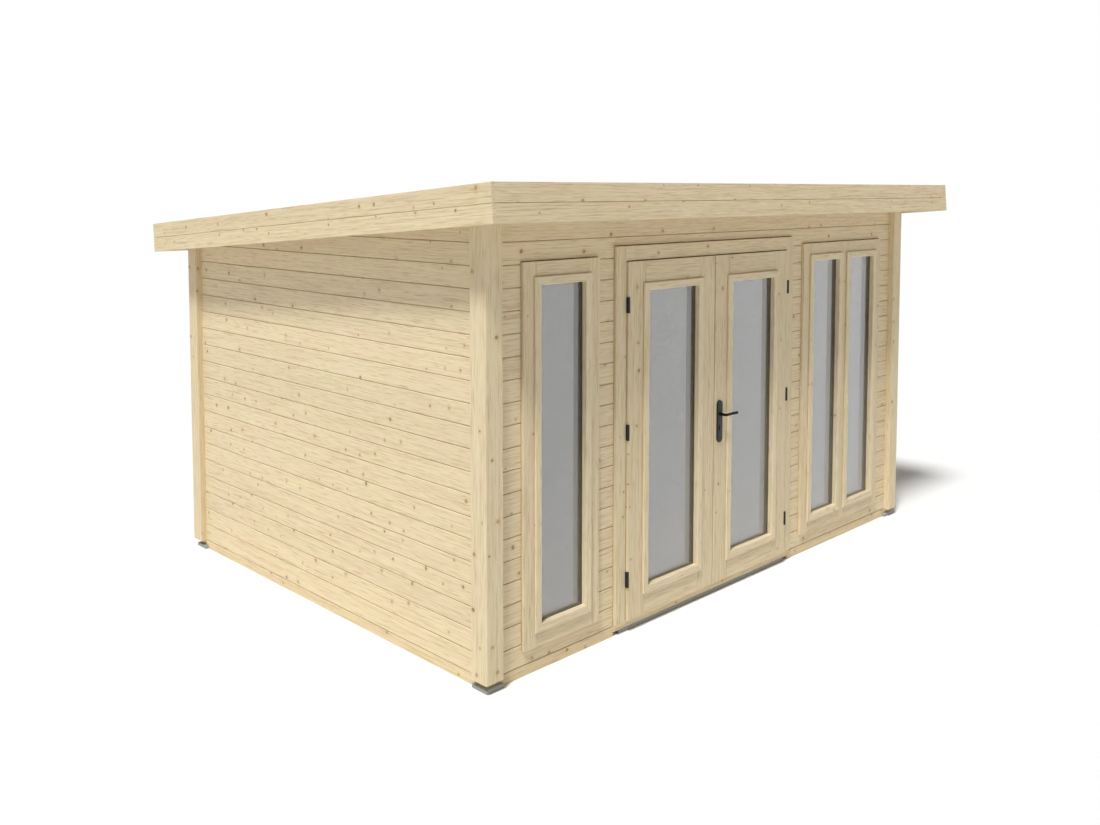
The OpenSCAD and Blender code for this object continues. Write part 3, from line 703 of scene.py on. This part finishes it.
# Double glazing: two panes of float glass with ground edges and a black spacer bar between them. The
# outer pane is plain, the inner one has a hard coating that mirrors the sky, and its grey body is painted
# shade.
# Float glass: dead flat, so that it mirrors the pale surroundings, with a faint smear here and there. The
# plain pane is clear; the grey of the other is painted shade for the dim room behind, and hides the room.
outer_glass = mottled("plain float glass", "TexNoise", grain_mm=140, tones=("#fbfcfb", "#ffffff"),
                      rough=(0.0, 0.006), Detail=3.0,
                      shine={"IOR": 1.5, "Transmission Weight": 1.0, "Coat Weight": 0.5, "Coat IOR": 1.5,
                             "Coat Roughness": 0.0})
# The grey of the inner pane, which lets only 0.3 of the light through, is painted shade for the dim room
# behind it.
inner_glass_painted_shade = mottled("coated float glass with painted room shade", "TexNoise", grain_mm=140, tones=("#6d6b69", "#747270"),
                      rough=(0.0, 0.012), Detail=3.0,
                      shine={"IOR": 1.5, "Transmission Weight": 0.3, "Coat Weight": 1.0, "Coat IOR": 2.2,
                             "Coat Roughness": 0.0})
pane_t, pane_edge, pane_grind = 4, 21, 0.6


def glaze(name, places, w, h, body, node):
    """The outer and the inner pane of each light."""
    outer, inner = bundle(), bundle()
    for place in places:
        for stack, depth in ((outer, bead_seat), (inner, rebate - pane_t)):
            saw(stack, rectangle((-pane_edge, depth), (w + pane_edge, depth + pane_t)), "z", -pane_edge,
                h + pane_edge, eased=ease(pane_grind, 0, 1, 2, 3), steps=1, place=place)
    fit(name + "_outer_panes", outer, outer_glass, body, "glass", node)
    fit(name + "_inner_panes", inner, inner_glass_painted_shade, body, "glass", node)


glaze("window", light_places, light_w, light_h, "pod", "window_glass")

# Spacer bar: aluminium with a matt black plastic coating, very slightly mottled.
spacer_black = mottled("black coated spacer bar", "TexNoise", grain_mm=3, tones=("#1c1a15", "#2a2720"),
                       rough=0.55)


def finish_node(node, material):
    """Gives a CAD node, whose shape is right, its real finish."""
    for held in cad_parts[node].material_slots:
        held.material = material


for node in ("window_spacers", "left_door_spacer", "right_door_spacer"):
    finish_node(node, spacer_black)


# Door leaves: two glazed leaves of planed spruce, each with stiles the full height, rails between
# them and the same beads as the windows. The hinge stile is cut away round each hinge.
leaf_w, leaf_h, leaf_t, leaf_stile = 769, 1977, 56, 139
leaf_x, leaf_proud, leaf_z = -1008, 31, 71
leaf_y = front_face - leaf_proud
door_middle = (door_frame[0] + door_frame[1]) / 2
hinge_heights, hinge_half = (230, 1047, leaf_h - 234), 44
hinge_cut_w, hinge_cut_d, leaf_joint = 7, 9.5, 2
leaf_light_w = leaf_w - 2 * (leaf_stile + sight)
leaf_light_h = leaf_h - 2 * (leaf_stile + sight)
whole_outline = stile_outline(leaf_stile, leaf_t)
cut_outline = [(hinge_cut_w, 0)] + whole_outline[1:] + [(0, hinge_cut_d), (hinge_cut_w, hinge_cut_d)]
left_place = at(leaf_x, leaf_y, leaf_z)
right_place = at(2 * door_middle - leaf_x, leaf_y, leaf_z) @ mirror_x
meeting_place = at(leaf_w, 0, 0) @ mirror_x
whole_eased, cut_eased = ease(joint_arris, 0, 1, 4), ease(joint_arris, 1, 4)
for side, place in (("left", left_place), ("right", right_place)):
    body = side + "_door"
    stiles = bundle()
    figure = new_figure()
    foot = 0
    for height in hinge_heights:
        low, high = height - hinge_half, height + hinge_half
        saw(stiles, whole_outline, "z", foot, low, place=place, figure=figure, eased=whole_eased)
        saw(stiles, cut_outline, "z", low, high, place=place, figure=figure, eased=cut_eased)
        foot = high
    saw(stiles, whole_outline, "z", foot, leaf_h, place=place, figure=figure, eased=whole_eased)
    saw(stiles, whole_outline, "z", 0, leaf_h, place=place @ meeting_place, eased=whole_eased)
    fit(side + "_leaf_stiles", stiles, joinery_spruce, body, "joinery", body + "_stiles")
    leaf_rails = bundle()
    rail_x = leaf_x + leaf_stile
    if side == "right":
        rail_x = 2 * door_middle - leaf_x - leaf_w + leaf_stile
    lay_rails(leaf_rails, (rail_x, leaf_y, leaf_z), leaf_stile, leaf_t, leaf_w - 2 * leaf_stile, leaf_h,
              leaf_joint)
    fit(side + "_leaf_rails", leaf_rails, joinery_spruce, body, "joinery", body + "_rails")
    leaf_beads = bundle()
    inset = at(leaf_stile + sight, 0, leaf_stile + sight)
    bead_light(leaf_beads, place @ inset, leaf_light_w, leaf_light_h)
    fit(side + "_leaf_glazing_beads", leaf_beads, bead_spruce, body, "beads", body + "_beads")
    glaze(side + "_leaf", [place @ inset], leaf_light_w, leaf_light_h, body, body + "_glass")


# Hinges: lift-off hinges of powder-coated steel, three to a leaf. The lower half with the pin is
# screwed to the jamb, the upper half to the leaf, and only the barrels show from outside.
# Powder coat: black with a soft sheen, broken up by the fine orange peel of the baked powder.
powder_black = mottled("black powder coat", "TexNoise", grain_mm=1.6, tones=("#131215", "#201f22"),
                       rough=0.42, relief_mm=0.08, relief_strength=0.4, Detail=2.0,
                       shine={"Specular IOR Level": 0.38})
for node in ("frame_hinges", "left_door_hinges", "right_door_hinges"):
    finish_node(node, powder_black)


# Door handle: long round-ended plates of cast zinc, powder-coated black, on both faces of the right
# leaf. Two countersunk screws clamp them together through the stile.
handle_x, lever_z, plate_z = -186, 1098, 1054
plate_w, plate_h, plate_t, plate_round = 50, 254, 10, 3
end_flat, crease = 0.05, 35
leaf_back = leaf_y + leaf_t


def soften(mesh_bm, turn):
    """Shades round forms smooth and keeps edges over the given angle sharp."""
    for face in mesh_bm.faces:
        face.smooth = True
    for edge in mesh_bm.edges:
        edge.smooth = len(edge.link_faces) == 2 and edge.calc_face_angle(0) < math.radians(turn)


def block(stack, size, middle):
    """Adds a box of a size about a middle, and gives back its vertices."""
    made = bmesh.ops.create_cube(stack, size=1)["verts"]
    bmesh.ops.scale(stack, verts=made, vec=size)
    bmesh.ops.translate(stack, verts=made, vec=middle)
    return made


def handle_plate(stack):
    """A plate on the outer face, in mm round the spindle: x across, y out of the leaf, z up."""
    block(stack, (plate_w, plate_t, plate_h), (0, -plate_t / 2, plate_z - lever_z))
    corners = [e for e in stack.edges if abs(e.verts[0].co.y - e.verts[1].co.y) > plate_t / 2]
    round_edges(stack, corners, plate_w / 2 - end_flat, steps=14)
    rim = [e for e in stack.edges if all(abs(v.co.y + plate_t) < end_flat for v in e.verts)
           and len(e.link_faces) == 2 and e.calc_face_angle(0) > math.radians(crease)]
    round_edges(stack, rim, plate_round, steps=4)


def screw_head(stack, place, sides, radius, top_radius, depth, land, recess):
    """A countersunk head with a round recess inside a land, made upright and moved to its place."""
    made = bmesh.ops.create_cone(stack, cap_ends=True, segments=sides, radius1=radius, radius2=top_radius,
                                 depth=depth)["verts"]
    top = max({f for v in made for f in v.link_faces}, key=lambda f: f.calc_center_median().z)
    bmesh.ops.transform(stack, matrix=place, verts=made)
    bmesh.ops.inset_region(stack, faces=[top], thickness=land, use_even_offset=True)
    bmesh.ops.translate(stack, verts=top.verts, vec=place.to_3x3() @ Vector((0, 0, -recess)))


screw_proud, screw_sunk, screw_inset = 0.9, 1, 26
screw_y = -plate_t - (screw_proud - screw_sunk) / 2
screw_reach = plate_h / 2 - screw_inset
plates = bmesh.new()
handle_plate(plates)
for z in (plate_z - lever_z + screw_reach, plate_z - lever_z - screw_reach):
    screw_head(plates, Matrix.Translation((0, screw_y, z)) @ Matrix.Rotation(math.pi / 2, 4, "X"), sides=24,
               radius=4.2, top_radius=3.612, depth=screw_proud + screw_sunk, land=1.68, recess=1.3)
outside = at(handle_x, leaf_y, lever_z) @ Matrix.Scale(MM, 4)
inside = at(handle_x, leaf_back, lever_z) @ Matrix.Scale(MM, 4) @ Matrix.Scale(-1, 4, (0, 1, 0))


def both_faces(half):
    """The half on the outside of the leaf and its mirror image on the inside."""
    whole = bmesh.new()
    for place in (outside, inside):
        copied = half.copy()
        bmesh.ops.transform(copied, matrix=place, verts=copied.verts)
        bmesh.ops.recalc_face_normals(copied, faces=copied.faces)
        soften(copied, crease)
        stow(copied, whole)
    half.free()
    return whole


fit("handle_backplates", both_faces(plates), powder_black, "right_door", "ironmongery", "handle_plates")


# Key cylinder: a brass profile cylinder with a dark plated finish and the slot of its key. It passes
# through the lock and stands a little out of the plates.
# Black nickel: a dark grey mirror, dulled by brushing along the door's height. The scratches are finer
# than a pixel, so they are drawn coarser to show at all.
scratch_mm, brushed_rough = (0.4, 0.4, 6), (0.25, 0.5)
black_nickel = mottled("brushed black nickel", "TexNoise", grain_mm=scratch_mm, tones=("#464543", "#5b5a57"),
                       rough=brushed_rough, shine={"Metallic": 1.0})
key_drop, key_r, key_proud, key_slot_w, key_slot_h, key_slot_d = 79, 8.5, 6, 1.8, 9, 5
lobe_w, lobe_h, lobe_proud, lobe_drop, lobe_round = 1.2 * key_r, 2 * key_r, 5.4, 1.5 * key_r, 0.58 * key_r
barrel = bmesh.new()
disc = bmesh.ops.create_circle(barrel, cap_ends=True, segments=40, radius=key_r)["verts"]
bmesh.ops.rotate(barrel, verts=disc, cent=(0, 0, 0), matrix=Matrix.Rotation(math.pi / 2, 3, "X"))
bmesh.ops.translate(barrel, verts=disc, vec=(0, -plate_t - key_proud, 0))
for point, normal in (((-key_slot_w / 2, 0, 0), (1, 0, 0)), ((key_slot_w / 2, 0, 0), (1, 0, 0)),
                      ((0, 0, -key_slot_h / 2), (0, 0, 1)), ((0, 0, key_slot_h / 2), (0, 0, 1))):
    bmesh.ops.bisect_plane(barrel, geom=barrel.verts[:] + barrel.edges[:] + barrel.faces[:], plane_co=point,
                           plane_no=normal)
slot_face = min(barrel.faces, key=lambda f: f.calc_center_median().xz.length)
rim = [e for e in barrel.edges if e.is_boundary]
skirt = bmesh.ops.extrude_edge_only(barrel, edges=rim)["geom"]
bmesh.ops.translate(barrel, verts=points_in(skirt), vec=(0, key_proud, 0))
close_up(barrel)
sunk = bmesh.ops.extrude_face_region(barrel, geom=[slot_face])["geom"]
bmesh.ops.translate(barrel, verts=points_in(sunk), vec=(0, key_slot_d, 0))
bmesh.ops.delete(barrel, geom=[slot_face], context="FACES_ONLY")
lobe = block(barrel, (lobe_w, lobe_proud, lobe_h), (0, -plate_t - lobe_proud / 2, -lobe_drop))
lobe_edges = [e for e in barrel.edges if all(v in lobe for v in e.verts) and e.verts[0].co.z < -key_r
              and abs(e.verts[0].co.y - e.verts[1].co.y) > lobe_proud / 2]
round_edges(barrel, lobe_edges, lobe_round, steps=8)
bmesh.ops.translate(barrel, verts=barrel.verts, vec=(0, 0, -key_drop))
fit("key_cylinder", both_faces(barrel), black_nickel, "right_door", "lock_steel", "lock_cylinder")


# Lock face and strike plate: strips of brushed steel with rounded ends, let in nearly flush with the
# meeting edges of the right and the left leaf. Each is held by two countersunk screws.
# Stainless steel: a pale grey mirror, dulled by brushing.
lock_steel = mottled("brushed stainless steel", "TexNoise", grain_mm=scratch_mm, tones=("#868581", "#999893"),
                     rough=brushed_rough, shine={"Metallic": 1.0})
strip_w, strip_l, strip_proud, strip_sunk, pin_inset = 20, 235, 0.6, 2.4, 14


def edge_strip(x, outward):
    """A plate on a leaf's meeting edge, whose face looks outward along x."""
    made = bmesh.new()
    block(made, (strip_proud + strip_sunk, strip_w, strip_l), ((strip_proud - strip_sunk) / 2, 0, 0))
    ends = [e for e in made.edges if abs(e.verts[0].co.x - e.verts[1].co.x) > strip_proud]
    round_edges(made, ends, strip_w / 2 - end_flat, steps=8)
    for z in (strip_l / 2 - pin_inset, pin_inset - strip_l / 2):
        screw_head(made, Matrix.Translation((strip_proud, 0, z)) @ Matrix.Rotation(math.pi / 2, 4, "Y"),
                   sides=20, radius=3.6, top_radius=3.2, depth=1.2, land=1.4, recess=0.8)
    place = at(x, leaf_y + leaf_t / 2, plate_z) @ Matrix.Scale(MM, 4) @ Matrix.Scale(outward, 4, (1, 0, 0))
    bmesh.ops.transform(made, matrix=place, verts=made.verts)
    bmesh.ops.recalc_face_normals(made, faces=made.faces)
    soften(made, crease)
    return made


left_edge, right_edge = leaf_x + leaf_w, 2 * door_middle - leaf_x - leaf_w
fit("lock_face", edge_strip(right_edge, -1), lock_steel, "right_door", "lock_steel")
fit("strike_plate", edge_strip(left_edge, 1), lock_steel, "left_door", "lock_steel")


# Lever: cast zinc, enamelled black, a round neck with a tight bend into a straight grip with a rounded
# end. A square spindle joins the outer lever to the inner one.
# Stoved enamel: blacker than the plates, with a dull sheen that hands have polished in places.
enamel_black = mottled("stoved black enamel", "TexNoise", grain_mm=25, tones=("#0c0b0b", "#151413"),
                       rough=(0.45, 0.65), Detail=3.0, shine={"Specular IOR Level": 0.12})
lever_reach, lever_bend, lever_l, grip_r, neck_r = 52, 10, 118, 8, 9
neck_proud, spindle_w = 8, 8
neck_reach, tip_round = plate_t + neck_proud, 0.93 * grip_r
lever = bmesh.new()
ring = bmesh.ops.create_circle(lever, cap_ends=True, segments=28, radius=neck_r)["verts"]
bmesh.ops.rotate(lever, verts=ring, cent=(0, 0, 0), matrix=Matrix.Rotation(math.pi / 2, 3, "X"))


def draw_out(end, step, scale=1.0):
    """Extrudes an end face of the lever by a step, and scales the new end about its middle."""
    grown = bmesh.ops.extrude_face_region(lever, geom=[end])["geom"]
    verts = points_in(grown)
    bmesh.ops.translate(lever, verts=verts, vec=step)
    middle = sum((v.co for v in verts), Vector()) / len(verts)
    bmesh.ops.scale(lever, verts=verts, vec=(scale,) * 3, space=Matrix.Translation(-middle))
    return next(g for g in grown if isinstance(g, bmesh.types.BMFace))


neck = draw_out(lever.faces[:][0], (0, -neck_reach, 0))
shoulder = draw_out(neck, (0, lever_bend + neck_reach - lever_reach, 0), grip_r / neck_r)
swung = bmesh.ops.spin(lever, geom=[shoulder], cent=(lever_bend, lever_bend - lever_reach, 0), axis=(0, 0, 1),
                       angle=math.pi / 2, steps=8, use_merge=False)["geom_last"]
elbow = next(g for g in swung if isinstance(g, bmesh.types.BMFace))
tip = draw_out(elbow, (lever_l - lever_bend, 0, 0))
bmesh.ops.delete(lever, geom=[neck, shoulder, elbow], context="FACES_ONLY")
round_edges(lever, tip.edges[:], tip_round, steps=6)
levers = both_faces(lever)
block(levers, Vector((spindle_w, leaf_t, spindle_w)) * MM,
      Vector((handle_x, leaf_y + leaf_t / 2, lever_z)) * MM)
fit("lever_handles", levers, enamel_black, "lever", "ironmongery", "door_lever")


# Roof purlins: sawn spruce on edge, from side to side. Three are let into the side walls and two
# carry the ends of the roof boards behind the fascias.
roof_corner = node_box("side_fascia_upper")[1]
front_overhang = 284
roof_place = at(0, front_face - front_overhang, roof_corner.z) @ Matrix.Rotation(-roof_pitch, 4, "X")
fascia_t, fascia_board, kerb, membrane_t, roof_board_t = 20, 93.5, 12, 3, 19
roof_half = roof_corner.x
deck_half = roof_half - fascia_t
roof_under = kerb + membrane_t + roof_board_t
wall_depth, back_overhang = back_face - front_face, 171
roof_l = (front_overhang + wall_depth + back_overhang) / math.cos(roof_pitch)
purlin_w, purlin_h, purlin_count, purlin_arris = 45, 140, 3, 3
wall_line = (front_overhang + roof_under * math.sin(roof_pitch)) / math.cos(roof_pitch)
purlin_step = (wall_depth - 2 * wall_t) / math.cos(roof_pitch) / (purlin_count + 1)
first_purlin = wall_line + wall_t / math.cos(roof_pitch)
purlin_starts = [first_purlin + (i + 1) * purlin_step - purlin_w / 2 for i in range(purlin_count)]
purlin_starts += [fascia_t, roof_l - fascia_t - purlin_w]
purlins = bundle()
for start in purlin_starts:
    saw(purlins, rectangle((start, -roof_under - purlin_h), (start + purlin_w, -roof_under)), "x", -deck_half,
        deck_half, eased=ease(purlin_arris, 0, 1), place=roof_place)
fit("purlins", purlins, sawn_spruce, "pod", "joists", "roof_purlins")


# Roof boards: planed spruce, tongued and grooved, laid down the slope on the purlins. Their
# chamfered faces look down, as the ceiling of the room and the soffit of the eaves.
roof_boards = bundle()
x = -deck_half
while x < deck_half:
    far = min(x + course, deck_half)
    low, high = -roof_under, -roof_under + roof_board_t
    saw(roof_boards, rectangle((x, low), (far, high)), "y", fascia_t, roof_l - fascia_t,
        eased=ease(groove_chamfer, 0, 1), steps=1, place=roof_place)
    x = far
fit("roof_boarding", roof_boards, board_spruce, "pod", "boards", "roof_deck")


# Roof covering: black rubber sheet in three widths, glued to the boards and lapped over the back fascia.
# It lies a little uneven, and a strip of seam tape is rolled down over each of its two joints.
# Rubber sheet: a dull dark grey, with a fine texture and dusty patches where water has stood.
roof_rubber = mottled("EPDM roofing sheet", "TexNoise", grain_mm=420, tones=("#2b2c2d", "#4a4a48"),
                      rough=(0.55, 0.85), stops=(0.35, 0.75), Detail=5.0)
rubber_tree = roof_rubber.node_tree
weave_mm, weave_depth_mm = 2.5, 0.2
rubber_spot = add(rubber_tree, "TexCoord").outputs["Object"]
weave = add(rubber_tree, "TexNoise", {"Vector": rubber_spot, "Scale": 1 / (weave_mm * MM), "Detail": 1.0})
rubber_relief = add(rubber_tree, "Bump", {"Height": weave, "Distance": weave_depth_mm * MM,
                                          "Strength": 0.3})
wire(rubber_tree, rubber_tree.nodes["Principled BSDF"], {"Normal": rubber_relief})
sheet_rise, sheet_crease = 0.9, 30
covering = bmesh.new()
bmesh.ops.create_grid(covering, x_segments=60, y_segments=46, size=0.5)
bmesh.ops.scale(covering, verts=covering.verts, vec=(2 * deck_half, roof_l - fascia_t, 1))
bmesh.ops.translate(covering, verts=covering.verts, vec=(0, (roof_l + fascia_t) / 2, -kerb))
for vert in covering.verts:
    if not vert.is_boundary:
        vert.co.z += yard.uniform(0, sheet_rise)
skirt = bmesh.ops.extrude_edge_only(covering, edges=[e for e in covering.edges if e.is_boundary])["geom"]
bmesh.ops.translate(covering, verts=points_in(skirt), vec=(0, 0, -membrane_t))
close_up(covering)
bmesh.ops.recalc_face_normals(covering, faces=covering.faces)
soften(covering, sheet_crease)
bmesh.ops.transform(covering, matrix=roof_place @ Matrix.Scale(MM, 4), verts=covering.verts)
fit("roof_sheet", covering, roof_rubber, "pod", "membrane", "roof_membrane")

# Seam tape: softer rubber, blacker and a little shinier than the sheet, with dust along the strip.
tape_rubber = mottled("uncured EPDM seam tape", "TexNoise", grain_mm=60, tones=("#1f2021", "#333433"),
                      rough=(0.4, 0.65), Detail=3.0)
seam_w, seam_t, seam_sunk, seam_round = 120, 3, 1, 1.5
seam_foot = -kerb - seam_sunk
seam_strips = bundle()
for x in (-deck_half / 3, deck_half / 3):
    saw(seam_strips, rectangle((x - seam_w / 2, seam_foot), (x + seam_w / 2, seam_foot + seam_t)), "y",
        fascia_t, roof_l, eased=ease(seam_round, 2, 3), place=roof_place)
fit("roof_seam_strips", seam_strips, tape_rubber, "pod", "membrane")


# Fascias: two planed spruce boards, one over the other, nailed to the ends of the purlins and the
# roof boards all round. The side boards run through and cover the ends of the front and back ones.
# Fascia spruce: as the wall boards, with darker rings and more knots.
fascia_spruce = spruce("planed spruce fascia boards", "#e7d6b3", "#ddcaa5", "#cab58c", knots=0.5)
fascia_arris, fascia_joint = 2.4, 1.6
all_corners = ease(fascia_arris, 0, 1, 2, 3)
for level, top in (("upper", 0), ("lower", -fascia_board)):
    sides, ends = bundle(), bundle()
    gap = fascia_joint if level == "lower" else 0
    for x in (-roof_half, roof_half - fascia_t):
        saw(sides, rectangle((x, top - fascia_board), (x + fascia_t, top - gap)), "y", 0, roof_l,
            eased=all_corners, place=roof_place)
    back_top = -kerb - membrane_t if level == "upper" else top - gap
    for y, high in ((0, top - gap), (roof_l - fascia_t, back_top)):
        saw(ends, rectangle((y, top - fascia_board), (y + fascia_t, high)), "x", -deck_half, deck_half,
            eased=all_corners, place=roof_place)
    fit("side_fascia_boards_" + level, sides, fascia_spruce, "pod", "fascia", "side_fascia_" + level)
    fit("end_fascia_boards_" + level, ends, fascia_spruce, "pod", "fascia", "end_fascia_" + level)
